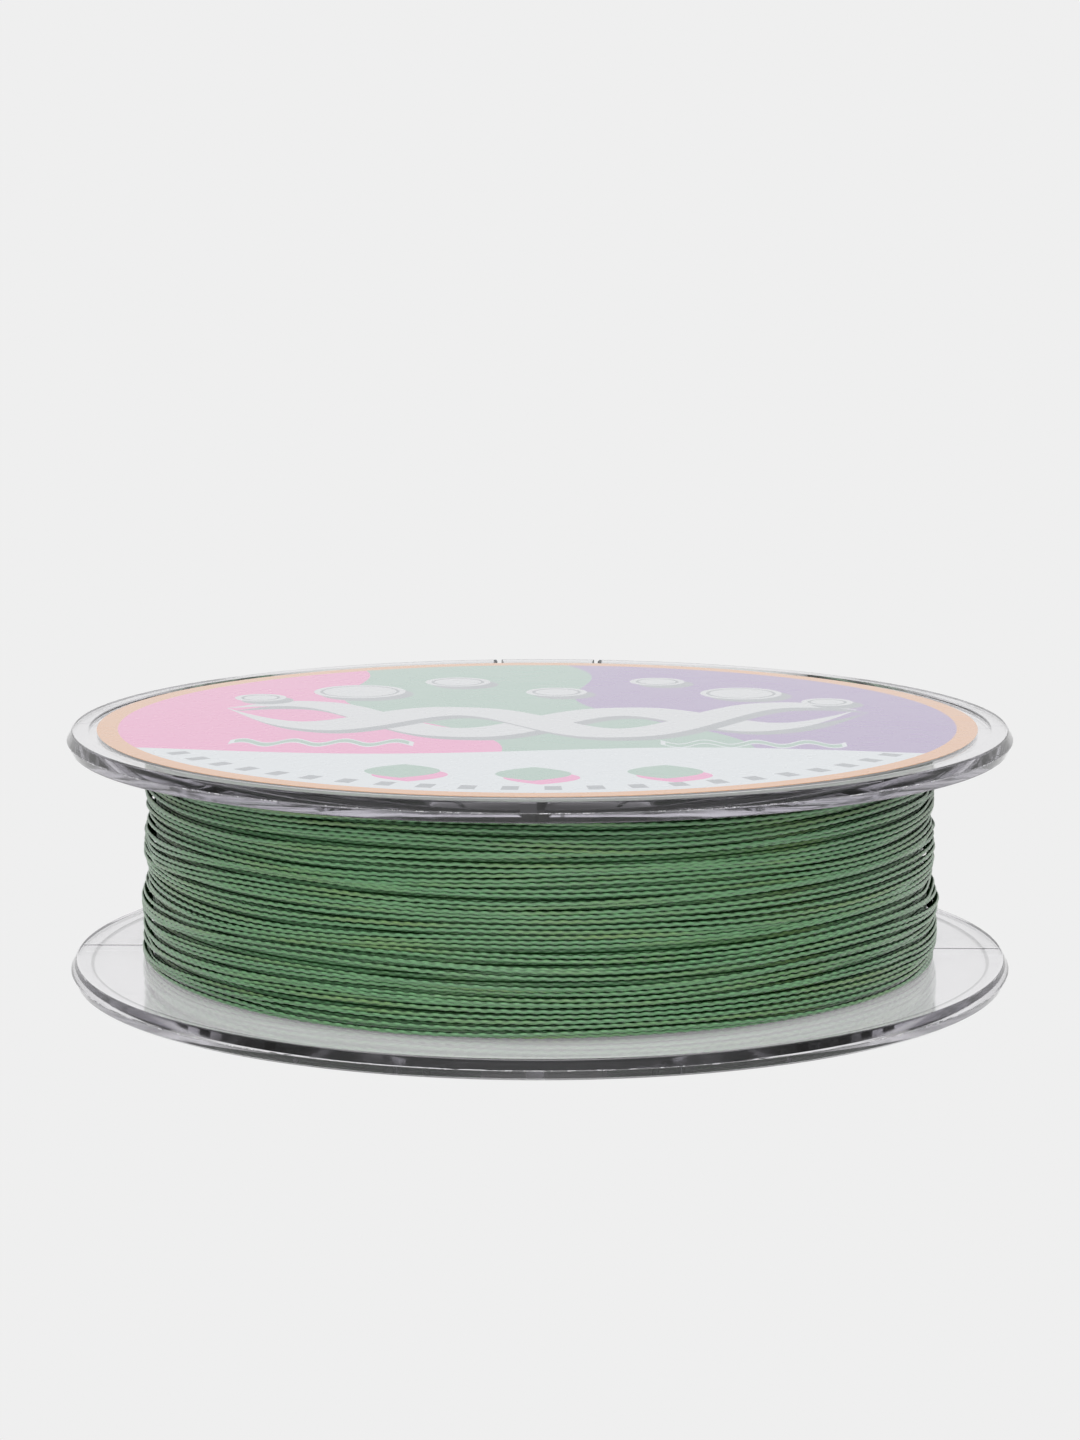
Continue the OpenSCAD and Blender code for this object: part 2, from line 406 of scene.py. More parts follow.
def split_ridge(angle, face_z, way):
    """The fine ridge that the mould's split leaves on a flange's inner face."""
    half, half_top = SPLIT_RIDGE_W / 2, SPLIT_RIDGE_TOP_W / 2
    foot_z, top_z = face_z - way * SPLIT_RIDGE_SINK, face_z + way * SPLIT_RIDGE_H
    outline = [(-half, foot_z), (half, foot_z), (half_top, top_z), (-half_top, top_z)]
    return turned(prism("split_ridge", outline, SPLIT_RIDGE_FROM, SPLIT_RIDGE_TO), angle)


def build_spool(material):
    """The whole moulding: the revolved section, with ribs and ridges joined and slits cut."""
    body = tool_object(spool_mesh())
    rib_angles = [RIB_START + i * 2 * math.pi / RIB_COUNT for i in range(RIB_COUNT)]
    ribs = [tool_object(rib_mesh(angle)) for angle in rib_angles]
    ridges = [
        tool_object(split_ridge(angle, face_z, way))
        for angle in (0.0, math.pi)
        for face_z, way in ((REAR_FACE_Z, 1), (FRONT_FACE_Z, -1))
    ]
    cut_or_join(body, ribs + ridges, "UNION")
    slits = [tool_object(slit_mesh(KEEPER_AT + side * SLIT_TURN)) for side in (-1, 1)]
    mesh = cut_or_join(body, slits, "DIFFERENCE")
    mesh.polygons.foreach_set("use_smooth", np.full(len(mesh.polygons), True))
    mesh.set_sharp_from_angle(angle=SHARP_FROM)
    bpy.data.objects.remove(body)
    mesh.name = SPOOL_NAME
    add_object(SPOOL_NAME, mesh, material, "clear_plastic", "spool_body")


# ---------------------------------------------------------------- the wound line


def ease(share):
    """A smooth step from 0 to 1 while the share goes from 0 to 1."""
    held = np.clip(share, 0.0, 1.0)
    return held * held * (3 - 2 * held)


def bell(share, at, spread):
    """A smooth bump of height 1."""
    return np.exp(-((share - at) / spread) ** 2 / 2)


def surface_r(z):
    """Radius of the wound line's surface at a height, as the CAD has it."""
    share = (z - REAR_FACE_Z) / WINDING_W
    return (
        PACK_R
        + REAR_BUILD * (1 - ease((share - REAR_END_AT) / (2 * REAR_FADE) + 0.5))
        + RIDGE_BUILD * bell(share, RIDGE_AT, RIDGE_SPREAD)
    )


# Soft bumps and dips that the last passes leave: height, radius change, spread
LUMPS = [(12.4, -0.16, 0.35), (10.9, 0.08, 0.4), (8.1, -0.08, 0.3), (6.1, 0.1, 0.35),
         (4.6, -0.1, 0.35)]

# The outer layer: turns, points a turn, and the meshes that share it. It holds its height at both
# ends, and strays less there.
TURNS = 44
STATIONS = 960
LINE_PIECES = 4
ROUTE_SEED = 5
END_HOLD = 0.8
CALM_AT_START = 1.5
CALM_AT_END = 1.2
FLANGE_GAP = 0.02
COIL_LOW_Z = REAR_FACE_Z + LINE_R + FLANGE_GAP
COIL_HIGH_Z = FRONT_FACE_Z - 0.3
COIL_TOP_Z = FRONT_FACE_Z - LINE_R - FLANGE_GAP
LAYER_SINK = 0.06

# Where the outer layer ends, so that the free end leaves it on a tangent towards its slit
COIL_END_R = surface_r(COIL_HIGH_Z) - 0.2
COIL_END_AT = TAG_SLIT_AT - math.acos(COIL_END_R / SLIT_R)

# How the turns stray: together, alone and in radius, each as (size, waves)
SHARED_WANDER = (0.15, 14)
OWN_WANDER = (0.09, 18)
UNEVEN = (0.03, 12)

# Waves a turn: of a wander alone, and of a shared one, which is a whole number and a slow climb
OWN_RATES = (0.25, 2.6)
ROUND_RATES = (1, 6)
CLIMB_RATES = (-0.09, 0.09)

# Short stretches that cross their neighbours: turns kept clear at the ends, spread in turns, and
# step in height
CROSSINGS = 24
CROSSING_MARGIN = 2.5
CROSSING_SPREAD = (0.05, 0.16)
CROSSING_STEP = (0.25, 0.5)

# A turn that lies on its neighbour is lifted, up to a limit, and comes down gently.
NESTING = 0.86
LIFT_MAX = 0.24
LIFT_EASE = 14


def wander(phase, rng, size, waves):
    """A smooth wander that doesn't repeat, as a sum of slow waves. Phase is in turns."""
    total = np.zeros_like(phase)
    for _ in range(waves):
        rate = rng.uniform(*OWN_RATES)
        total += np.cos(2 * math.pi * (rate * phase + rng.random()))
    return size * total / math.sqrt(waves / 2)


def shared_wander(phase, rng, size, waves):
    """A wander that neighbouring turns share, because each turn lies against the one before."""
    total = np.zeros_like(phase)
    for _ in range(waves):
        round_rate = rng.integers(*ROUND_RATES)
        climb_rate = rng.uniform(*CLIMB_RATES)
        total += np.cos(2 * math.pi * ((round_rate + climb_rate) * phase + rng.random()))
    return size * total / math.sqrt(waves / 2)


def smooth_row(values, width):
    """Evens a row out with a rounded window."""
    window = np.hanning(2 * width + 3)[1:-1]
    padded = np.pad(values, width, mode="edge")
    return np.convolve(padded, window / window.sum(), mode="valid")


def lift_over_neighbours(height):
    """How far each station is lifted by the turn before it, which it nests by or climbs over."""
    lift = np.zeros(len(height))
    for turn in range(1, TURNS):
        here = slice(turn * STATIONS, (turn + 1) * STATIONS)
        below = slice((turn - 1) * STATIONS, turn * STATIONS)
        side = np.abs(height[here] - height[below])
        rise = np.sqrt(np.clip((NESTING * LINE_D) ** 2 - side ** 2, 0, None))
        lift[here] = np.where(lift[below] >= rise, lift[below] - rise, lift[below] + rise)
        lift[here] = np.clip(lift[here], 0, LIFT_MAX)
    return smooth_row(lift, LIFT_EASE)


def coil_route():
    """Centres of the outer layer, station by station: angle, radius and height."""
    rng = np.random.default_rng(ROUTE_SEED)
    count = TURNS * STATIONS + 1
    phase = np.arange(count) / STATIONS
    calm = ease(phase / CALM_AT_START) * ease((TURNS - phase) / CALM_AT_END)
    climb = np.clip((phase - END_HOLD) / (TURNS - 2 * END_HOLD), 0, 1)
    height = COIL_LOW_Z + (COIL_HIGH_Z - COIL_LOW_Z) * climb
    height += calm * (shared_wander(phase, rng, *SHARED_WANDER) + wander(phase, rng, *OWN_WANDER))
    for _ in range(CROSSINGS):
        at = rng.uniform(CROSSING_MARGIN, TURNS - CROSSING_MARGIN)
        spread = rng.uniform(*CROSSING_SPREAD)
        step = rng.choice([-1, 1]) * rng.uniform(*CROSSING_STEP)
        height += step * np.exp(-((phase - at) / spread) ** 2)
    height = np.clip(height, COIL_LOW_Z, COIL_TOP_Z)
    lift = lift_over_neighbours(height)
    angle = COIL_END_AT + 2 * math.pi * (phase - TURNS)
    bumps = sum(size * np.exp(-((height - z) / spread) ** 2) for z, size, spread in LUMPS)
    uneven = wander(phase, rng, *UNEVEN)
    radius = surface_r(height) - LINE_R - LAYER_SINK + calm * (bumps + uneven + lift)
    return angle, radius, height


# The free end: how far it sags below the last turn, its bend, and how far it stands in its slit
TAG_SAG = 0.6
TAG_BEND_R = 0.84
TAG_GRIP = 0.9
TAG_RUN_STEP = 0.19
TAG_RISE_STEP = 0.15
TAG_BEND_FROM = 0.1
TAG_BEND_POINTS = 8


def tag_route():
    """The free end: off the pack in a straight run, under the front flange and up into its slit."""
    side = np.array([-math.sin(COIL_END_AT), math.cos(COIL_END_AT), 0.0])
    start = revolved(COIL_END_R, COIL_HIGH_Z, COIL_END_AT)
    reach = math.sqrt(SLIT_R ** 2 - COIL_END_R ** 2)
    straight = reach - TAG_BEND_R
    run = np.arange(TAG_RUN_STEP, straight, TAG_RUN_STEP)
    places = [(x, -TAG_SAG * share) for x, share in zip(run, ease(run / straight))]
    for turn in np.linspace(TAG_BEND_FROM, math.pi / 2, TAG_BEND_POINTS):
        x, z = TAG_BEND_R * math.sin(turn), TAG_BEND_R * (1 - math.cos(turn))
        places.append((straight + x, z - TAG_SAG))
    low_z = COIL_HIGH_Z - TAG_SAG + TAG_BEND_R
    for z in np.arange(low_z + TAG_RISE_STEP, FRONT_FACE_Z + TAG_GRIP, TAG_RISE_STEP):
        places.append((reach, z - COIL_HIGH_Z))
    return np.array([start + side * x + np.array([0, 0, z]) for x, z in places])


# The braid: length of a stitch, its slow drifts as (size, length), and its crowns' lean and rise
STITCH = 0.915
STITCH_DRIFTS = [(0.5, 9.7), (0.35, 23.1)]
CHEVRON = 1.2
CROWN_RISE = 0.18
TUBE_SIDES = 8


def stitch_count(length):
    """Stitches up to a length. Their pace drifts, so that neighbouring crowns don't line up."""
    drifted = length
    for size, reach in STITCH_DRIFTS:
        drifted = drifted + size * np.sin(length / reach)
    return drifted / STITCH


def braid_tube(name, centres, outward, start_length):
    """A closed tube with the staggered crowns of a braid, and the length of line up to its end."""
    step = np.linalg.norm(np.diff(centres, axis=0), axis=1)
    length = start_length + np.concatenate([[0.0], np.cumsum(step)])
    stitches = stitch_count(length)
    tangent = np.gradient(centres, axis=0)
    tangent /= np.linalg.norm(tangent, axis=1)[:, None]
    across = np.cross(tangent, outward)
    across /= np.linalg.norm(across, axis=1)[:, None]
    out = np.cross(across, tangent)
    turn = 2 * math.pi * np.arange(TUBE_SIDES)[None, :] / TUBE_SIDES
    crowns = np.sin(turn) * np.cos(2 * math.pi * stitches[:, None] + CHEVRON * np.sin(turn) ** 2)
    radius = LINE_R * (1 - CROWN_RISE + CROWN_RISE * crowns)
    points = centres[:, None, :] + radius[..., None] * (
        np.cos(turn)[..., None] * out[:, None, :] + np.sin(turn)[..., None] * across[:, None, :]
    )
    rings = len(centres)
    mesh = bpy.data.meshes.new(name)
    faces = ring_quads(rings, TUBE_SIDES).tolist()
    faces.append(list(range(TUBE_SIDES)))
    faces.append([(rings - 1) * TUBE_SIDES + k for k in reversed(range(TUBE_SIDES))])
    mesh.from_pydata((points.reshape(-1, 3) * MM).tolist(), [], faces)
    mesh.polygons.foreach_set("use_smooth", np.full(len(faces), True))
    ring = np.repeat(np.arange(rings - 1), TUBE_SIDES)
    side = np.tile(np.arange(TUBE_SIDES), rings - 1)
    corner_ring = np.stack([ring, ring + 1, ring + 1, ring], axis=1)
    corner_side = np.stack([side, side, side + 1, side + 1], axis=1)
    uv = np.stack([corner_side / TUBE_SIDES, stitches[corner_ring]], axis=-1).reshape(-1, 2)
    caps = np.zeros((2 * TUBE_SIDES, 2))
    write_strand_uv(mesh, np.concatenate([uv, caps]))
    return mesh, length[-1]


def build_turns(material):
    """The outer layer as one strand, shared out over a few meshes, and its free end."""
    angle, radius, height = coil_route()
    centres = revolved(radius, height, angle)
    outward = revolved(np.ones_like(angle), np.zeros_like(angle), angle)
    cuts = np.linspace(0, len(centres) - 1, LINE_PIECES + 1).astype(int)
    length = 0.0
    for i, (start, end) in enumerate(zip(cuts[:-1], cuts[1:])):
        name = f"line_turns_{i + 1}"
        mesh, length = braid_tube(name, centres[start:end + 1], outward[start:end + 1], length)
        add_object(name, mesh, material, "braided_line", "line_outer_layer")
    tag = np.concatenate([centres[-1:], tag_route()])
    aside = np.repeat(outward[-1:], len(tag), axis=0)
    mesh, _ = braid_tube("line_free_end", tag, aside, length)
    add_object("line_free_end", mesh, material, "braided_line", "line_tag_end")


CORE_NAME = "line_lower_layers"
CORE_SEGMENTS = 240
CORE_BULGE = 0.13
CORE_GAP = 0.02
CORE_SINK = 0.05
CORE_SWAY = 0.02
CORE_SWAY_WAVES = 3
CORE_SWAY_SHIFT = 9
SCALLOP_STEPS = 5


def scallops(start, end):
    """A row of half-round ridges between two corners of the core's section."""
    start, end = np.array(start), np.array(end)
    reach = np.linalg.norm(end - start)
    ridges = max(1, round(reach / LINE_D))
    along = (end - start) / reach
    out = np.array([along[1], -along[0]])
    steps = np.arange(ridges * SCALLOP_STEPS)
    shares = (steps / SCALLOP_STEPS) % 1
    places = steps / len(steps)
    bulge = out * CORE_BULGE * np.sin(math.pi * shares)[:, None]
    return start + (end - start) * places[:, None] + bulge, shares


def build_core(material):
    """The lower layers: a ring whose faces carry the ridges of the turns that end there."""
    inset = CORE_BULGE + CORE_GAP
    low_z, high_z = core_low[2] + inset, core_high[2] - inset
    bore_r = DRUM_R + inset
    top_r = PACK_R - 2 * LINE_D - CORE_SINK
    low_r = top_r + REAR_BUILD
    step_low_z = REAR_FACE_Z + (REAR_END_AT - REAR_FADE) * WINDING_W
    step_high_z = REAR_FACE_Z + (REAR_END_AT + REAR_FADE) * WINDING_W
    corners = [
        (bore_r, low_z), (low_r, low_z), (low_r, step_low_z),
        (top_r, step_high_z), (top_r, high_z), (bore_r, high_z),
    ]
    sides = [scallops(a, b) for a, b in zip(corners, corners[1:] + corners[:1])]
    section = np.concatenate([points for points, _ in sides])
    across = np.concatenate([shares for _, shares in sides])
    rows = len(section)
    angles = np.arange(CORE_SEGMENTS) * 2 * math.pi / CORE_SEGMENTS
    shift = np.linspace(0, CORE_SWAY_SHIFT, rows)
    sway = CORE_SWAY * np.cos(CORE_SWAY_WAVES * angles[:, None] + shift[None, :])
    radius = section[None, :, 0] + sway
    height = np.broadcast_to(section[None, :, 1], radius.shape)
    points = revolved(radius, height, angles[:, None])
    mesh = mesh_of(CORE_NAME, points.reshape(-1, 3), ring_quads(CORE_SEGMENTS, rows, closed=True))
    ring = np.repeat(np.arange(CORE_SEGMENTS), rows)
    side = np.tile(np.arange(rows), CORE_SEGMENTS)
    after = across[(side + 1) % rows]
    after = np.where(after == 0, 1.0, after)
    # Each ridge shows the outer half of a strand, a quarter turn either side of straight out.
    u = np.stack([across[side], across[side], after, after], axis=1) / 2 - 0.25
    stitches = 2 * math.pi * PACK_R / STITCH / CORE_SEGMENTS
    v = np.stack([ring, ring + 1, ring + 1, ring], axis=1) * stitches
    write_strand_uv(mesh, np.stack([u, v], axis=-1).reshape(-1, 2))
    add_object(CORE_NAME, mesh, material, "braided_line", "line_core")


# ---------------------------------------------------------------- node helpers


class Nodes:
    """Short calls for building the node tree of a material or a world."""

    def __init__(self, name, owners=bpy.data.materials):
        self.owner = owners.new(name)
        self.owner.use_nodes = True
        self.tree = self.owner.node_tree
        self.tree.nodes.clear()

    def add(self, kind, inputs=None, **settings):
        """A new node with its settings and inputs. An input is a value, a socket or a node."""
        node = self.tree.nodes.new(kind)
        for key, value in settings.items():
            setattr(node, key, value)
        for key, value in (inputs or {}).items():
            self.plug(node.inputs[key], value)
        return node

    def plug(self, socket, value):
        """Links a socket or a node's first output to an input, or sets the input's value."""
        if isinstance(value, bpy.types.Node):
            value = value.outputs[0]
        if isinstance(value, bpy.types.NodeSocket):
            self.tree.links.new(value, socket)
        else:
            socket.default_value = value

    def math(self, operation, *values, clamp=False):
        """One step of arithmetic on values or sockets."""
        inputs = dict(enumerate(values))
        return self.add("ShaderNodeMath", inputs, operation=operation, use_clamp=clamp).outputs[0]

    def mix(self, share, a, b):
        """A blend of two colours, which a Mix node keeps in inputs 6 and 7 and output 2."""
        return self.add("ShaderNodeMix", {0: share, 6: a, 7: b}, data_type="RGBA").outputs[2]

    def blend(self, share, a, b):
        """A blend of two values, which a Mix node keeps in inputs 2 and 3."""
        return self.add("ShaderNodeMix", {0: share, 2: a, 3: b}).outputs[0]

    def ramp(self, value, low, high):
        """A smooth step from 0 at low to 1 at high."""
        inputs = {0: value, 1: low, 2: high}
        return self.add("ShaderNodeMapRange", inputs, interpolation_type="SMOOTHSTEP").outputs[0]

    def below(self, value, limit, soft=0.08):
        """1 where a value is under a limit and 0 above it, with a soft edge."""
        return self.ramp(value, limit + soft / 2, limit - soft / 2)

    def scale_to(self, share, low, high):
        """A value that goes from low to high as a share goes from 0 to 1."""
        return self.math("MULTIPLY_ADD", share, high - low, low)

    def distance(self, a, b):
        """How far apart two values are."""
        return self.math("ABSOLUTE", self.math("SUBTRACT", a, b))

    def length(self, x, y):
        """The length of a flat vector."""
        return self.math("SQRT", self.math("MULTIPLY_ADD", x, x, self.math("MULTIPLY", y, y)))

    def noise(self, vector, scale, detail=2.0, rough=0.5):
        """Soft noise from 0 to 1, with its scale in waves per millimetre."""
        inputs = {"Vector": vector, "Scale": scale, "Detail": detail, "Roughness": rough}
        return self.add("ShaderNodeTexNoise", inputs).outputs[0]

    def place(self):
        """The object's own coordinates, in millimetres, as X, Y, Z and the whole vector."""
        coords = self.add("ShaderNodeTexCoord")
        inputs = {0: coords.outputs["Object"], "Scale": 1 / MM}
        vector = self.add("ShaderNodeVectorMath", inputs, operation="SCALE").outputs[0]
        parts = self.add("ShaderNodeSeparateXYZ", {0: vector})
        return (*parts.outputs, vector)

    def bump(self, height, strength, depth):
        """A bumped normal. The depth is that of the whole height."""
        inputs = {"Height": height, "Strength": strength, "Distance": depth * MM}
        return self.add("ShaderNodeBump", inputs).outputs[0]

    def finish(self, shader, volume=None):
        """Plugs the shader into the material's output and gives the material."""
        out = self.add("ShaderNodeOutputMaterial", {"Surface": shader})
        if volume is not None:
            self.plug(out.inputs["Volume"], volume)
        return self.owner


def rgb(red, green, blue):
    """An opaque colour from linear values."""
    return (red, green, blue, 1.0)


WHITE = rgb(1, 1, 1)


# ---------------------------------------------------------------- materials


# In the constants of the materials, a NOISE is (scale, detail, roughness), a STEP is where a smooth
# step starts and ends, a BAND is (half width, soft edge) and a BUMP is (strength, depth).

PLASTIC = rgb(0.97, 0.965, 0.98)
PLASTIC_IOR = 1.58
PLASTIC_POLISH = 0.015
PLASTIC_NOISE = (0.22, 2.0)
PLASTIC_BUMP = (0.02, 0.1)
CLOUD_ROUGHNESS = 0.5
DEPTH_TINT = rgb(0.72, 0.70, 0.76)
DEPTH_DENSITY = 30.0

# White flecks on the flash
FLASH_WHITE = rgb(0.85, 0.85, 0.87)
FLASH_BAND = (0.035, 0.02)
FLASH_R_STEP = (FLANGE_R - 0.2, FLANGE_R - 0.1)
FLASH_NOISE = (1.1, 5.0, 0.75)
FLASH_STEP = (0.5, 0.64)
FLASH_SHARES = (0.15, 0.9)

# The satin inner face of the rear flange, and scuffs all over
SATIN = 0.055
SATIN_BAND = (0.05, 0.02)
SATIN_R = FACE_R - 0.3
SCUFF = 0.05
SCUFF_NOISE = (0.35, 4.0, 0.6)
SCUFF_STEP = (0.45, 0.75)

# Painted shade: dark, opaque walls of the keeper slits
SLIT_SHADE = rgb(0.06, 0.07, 0.08)
SLIT_SHADE_BAND = (SLIT_W * 0.8, 0.1)
SLIT_SHADE_Y_STEP = (SLIT_R - 0.3, SLIT_R)
SLIT_SHADE_Z_STEP = (FRONT_FACE_Z - 0.1, FRONT_FACE_Z)


def clear_plastic():
    """Clear polystyrene with a violet cast, scuffs, white flash on the split and painted shade on
    the slits' walls.
    """
    n = Nodes("clear_polystyrene")
    x, y, z, vector = n.place()
    radius = n.length(x, y)
    splits = [n.below(n.distance(z, at), *FLASH_BAND) for at in (RIM_SPLIT, SPOOL_H - RIM_SPLIT)]
    crest = n.math("MULTIPLY", n.math("MAXIMUM", *splits), n.ramp(radius, *FLASH_R_STEP))
    flecks = n.ramp(n.noise(vector, *FLASH_NOISE), *FLASH_STEP)
    white = n.math("MULTIPLY", crest, n.scale_to(flecks, *FLASH_SHARES))

    inner_face = n.below(n.distance(z, REAR_FACE_Z), *SATIN_BAND)
    satin = n.math("MULTIPLY", inner_face, n.below(radius, SATIN_R))
    scuffs = n.ramp(n.noise(vector, *SCUFF_NOISE), *SCUFF_STEP)
    worn = n.math("MULTIPLY_ADD", satin, SATIN, PLASTIC_POLISH)
    worn = n.math("MULTIPLY_ADD", scuffs, SCUFF, worn)

    # Painted shade: the walls of the keeper slits are made dark and opaque.
    beside_slit = n.distance(n.math("ABSOLUTE", x), SLIT_SPACING / 2)
    slit_shade = n.math("MULTIPLY", n.below(beside_slit, *SLIT_SHADE_BAND), n.ramp(y, *SLIT_SHADE_Y_STEP))
    slit_shade = n.math("MULTIPLY", slit_shade, n.ramp(z, *SLIT_SHADE_Z_STEP))
    # The plastic turns opaque and rough where the flash is white and where the slits carry painted
    # shade.
    flash_and_slit_shade = n.math("MAXIMUM", white, slit_shade)
    shader = n.add("ShaderNodeBsdfPrincipled", {
        "Base Color": n.mix(slit_shade, n.mix(white, PLASTIC, FLASH_WHITE), SLIT_SHADE),
        "IOR": PLASTIC_IOR,
        "Transmission Weight": n.math("SUBTRACT", 1.0, flash_and_slit_shade),
        "Roughness": n.math("MULTIPLY_ADD", flash_and_slit_shade, CLOUD_ROUGHNESS, worn),
        "Normal": n.bump(n.noise(vector, *PLASTIC_NOISE), *PLASTIC_BUMP),
    })
    volume = n.add("ShaderNodeVolumeAbsorption", {"Color": DEPTH_TINT, "Density": DEPTH_DENSITY})
    return n.finish(shader, volume)


# Inks, as (red, green, blue)
PINK = rgb(0.90, 0.23, 0.54)
GREEN = rgb(0.28, 0.48, 0.39)
PURPLE = rgb(0.32, 0.20, 0.48)
ORANGE = rgb(0.80, 0.37, 0.14)
PAPER_WHITE = rgb(0.75, 0.80, 0.84)
PALE = rgb(0.70, 0.72, 0.75)
SHADE = rgb(0.30, 0.33, 0.37)
# Painted shade: the label's back and edge are grey, darker than white paper
SHADED_BACKING = rgb(0.45, 0.45, 0.45)

# The print's layout. Motifs stand on colour fields that lean, over a white foot with a wavy edge.
LABEL_CENTRE_X = -0.2
RING_STEP = (31.0, 31.1)
FIELD_EDGE = 9.0
FIELD_LEAN = 0.32
FIELD_SWING = 3.0
FIELD_SWING_RATE = 0.17
FOOT_Y = -13.5
FOOT_WAVE = 1.6
FOOT_WAVE_RATE = 0.13
SHADOW_X = 0.7
SHADOW_Y = -1.5
SHADOW_SOFT = 0.25

# Discs as (x, y, radius), each with a thin line inside its edge
BUBBLES = [(-14.5, 15.5, 3.6), (-7.0, 21.0, 2.6), (-22.0, 12.0, 2.0), (15.5, 15.0, 3.2),
           (22.0, 10.5, 2.0), (9.0, 21.5, 2.2), (1.0, 15.5, 2.4)]
BUBBLE_LINE_IN = 0.6
BUBBLE_LINE_HALF_W = 0.12

# The plait of two ribbons
PLAIT_RATE = 2 * math.pi / 24.0
PLAIT_SWING = 5.2
PLAIT_BOW = 0.012
PLAIT_Y = -0.5
PLAIT_HALF_W = 2.1
PLAIT_END = 25.0
PLAIT_TAPER = 10.0
PLAIT_CLIP = 24.0

# Leaves at these x, which lie on an arc, each over a shifted copy
LEAVES = [-9.0, 0.0, 9.0]
LEAF_Y = -23.5
LEAF_ARC = 0.12
LEAF_HALF_L = 2.8
LEAF_HALF_W = 2.6
LEAF_SHIFT_X = 0.6

# Two short rows of waves
WAVELET_X = 15.5
WAVELET_Y = -10.2
WAVELET_HALF_L = 6.3
WAVELET_RATE = 1.7
WAVELET_SWING = 0.95
WAVELET_HALF_W = 0.6
WAVELET_RIM = 0.35

# Ticks round the foot, as a share of their pitch
TICKS = 64
TICK_BAND = (0.2, 0.03)
TICK_R = 29.2
TICK_HALF_L = 0.75
TICK_TOP_Y = -13.7

# The paper: faint specks in the ink, a gloss that varies, and the depth at which the print ends
INK_NOISE = (6.0, 2.0)
INK_STEP = (0.35, 0.75)
INK_SPECKS = 0.015
PRINT_Z_STEP = (label_high[2] - 0.04, label_high[2] - 0.02)
PAPER_SPECULAR = 0.1
PAPER_NOISE = (0.4, 3.0)
PAPER_ROUGHNESS = (0.22, 0.32)
COAT_ROUGHNESS = 0.04


def plait(n, x, y, phase):
    """How far a point lies outside one ribbon, which swings about an arc and ends in points."""
    turn = n.math("MULTIPLY_ADD", x, PLAIT_RATE, phase)
    middle = n.math("MULTIPLY_ADD", n.math("MULTIPLY", x, x), PLAIT_BOW, PLAIT_Y)
    middle = n.math("MULTIPLY_ADD", n.math("SINE", turn), PLAIT_SWING, middle)
    slope = n.math("MULTIPLY", n.math("COSINE", turn), PLAIT_SWING * PLAIT_RATE)
    stretch = n.math("SQRT", n.math("MULTIPLY_ADD", slope, slope, 1.0))
    offset = n.math("DIVIDE", n.distance(y, middle), stretch)
    reach = n.math("ABSOLUTE", x)
    half_w = n.math("MULTIPLY", n.ramp(reach, PLAIT_END, PLAIT_END - PLAIT_TAPER), PLAIT_HALF_W)
    beyond = n.math("SUBTRACT", reach, PLAIT_CLIP)
    return n.math("MAXIMUM", n.math("SUBTRACT", offset, half_w), beyond)


def nearest_of(n, distances):
    """The least of several distances."""
    nearest = distances[0]
    for away in distances[1:]:
        nearest = n.math("MINIMUM", nearest, away)
    return nearest


def bubbles(n, x, y):
    """How far a point lies outside the nearest disc."""
    away = []
    for at_x, at_y, size in BUBBLES:
        reach = n.length(n.math("SUBTRACT", x, at_x), n.math("SUBTRACT", y, at_y))
        away.append(n.math("SUBTRACT", reach, size))
    return nearest_of(n, away)


def leaf(n, x, y, at_x):
    """How far a point lies outside one slender leaf."""
    up = n.math("DIVIDE", n.math("SUBTRACT", y, abs(at_x) * LEAF_ARC + LEAF_Y), LEAF_HALF_L)
    half = n.math("MULTIPLY_ADD", n.math("MULTIPLY", up, up), -LEAF_HALF_W, LEAF_HALF_W)
    return n.math("SUBTRACT", n.distance(x, at_x), half)


def leaves(n, x, y):
    """How far a point lies outside the nearest of the leaves near the front."""
    return nearest_of(n, [leaf(n, x, y, at_x) for at_x in LEAVES])


def wavelets(n, x, y):
    """How far a point lies outside two short rows of waves, left and right of the front."""
    wave = n.math("SINE", n.math("MULTIPLY", x, WAVELET_RATE))
    crest = n.math("MULTIPLY_ADD", wave, WAVELET_SWING, WAVELET_Y)
    away = n.math("SUBTRACT", n.distance(y, crest), WAVELET_HALF_W)
    side = n.math("SUBTRACT", n.distance(n.math("ABSOLUTE", x), WAVELET_X), WAVELET_HALF_L)
    return n.math("MAXIMUM", away, side)


def colour_fields(n, x, y):
    """Pink, green and purple fields side by side, with a white foot in front of them."""
    swing = n.math("SINE", n.math("MULTIPLY", y, FIELD_SWING_RATE))
    swing = n.math("MULTIPLY", swing, FIELD_SWING)
    lean = n.math("ADD", x, n.math("MULTIPLY_ADD", y, FIELD_LEAN, swing))
    colour = n.mix(n.below(lean, FIELD_EDGE), PURPLE, GREEN)
    colour = n.mix(n.below(lean, -FIELD_EDGE), colour, PINK)
    wave = n.math("SINE", n.math("MULTIPLY", x, FOOT_WAVE_RATE))
    edge = n.math("MULTIPLY_ADD", wave, FOOT_WAVE, FOOT_Y)
    return n.mix(n.below(n.math("SUBTRACT", y, edge), 0.0), colour, PAPER_WHITE)


def ticks(n, x, y, radius):
    """1 on the short dashes round the foot and 0 elsewhere."""
    turn = n.math("MULTIPLY", n.math("ARCTAN2", x, y), TICKS / (2 * math.pi))
    dash = n.below(n.distance(n.math("FRACT", turn), 0.5), *TICK_BAND)
    band = n.below(n.distance(radius, TICK_R), TICK_HALF_L)
    return n.math("MULTIPLY", n.math("MULTIPLY", dash, band), n.below(y, TICK_TOP_Y))


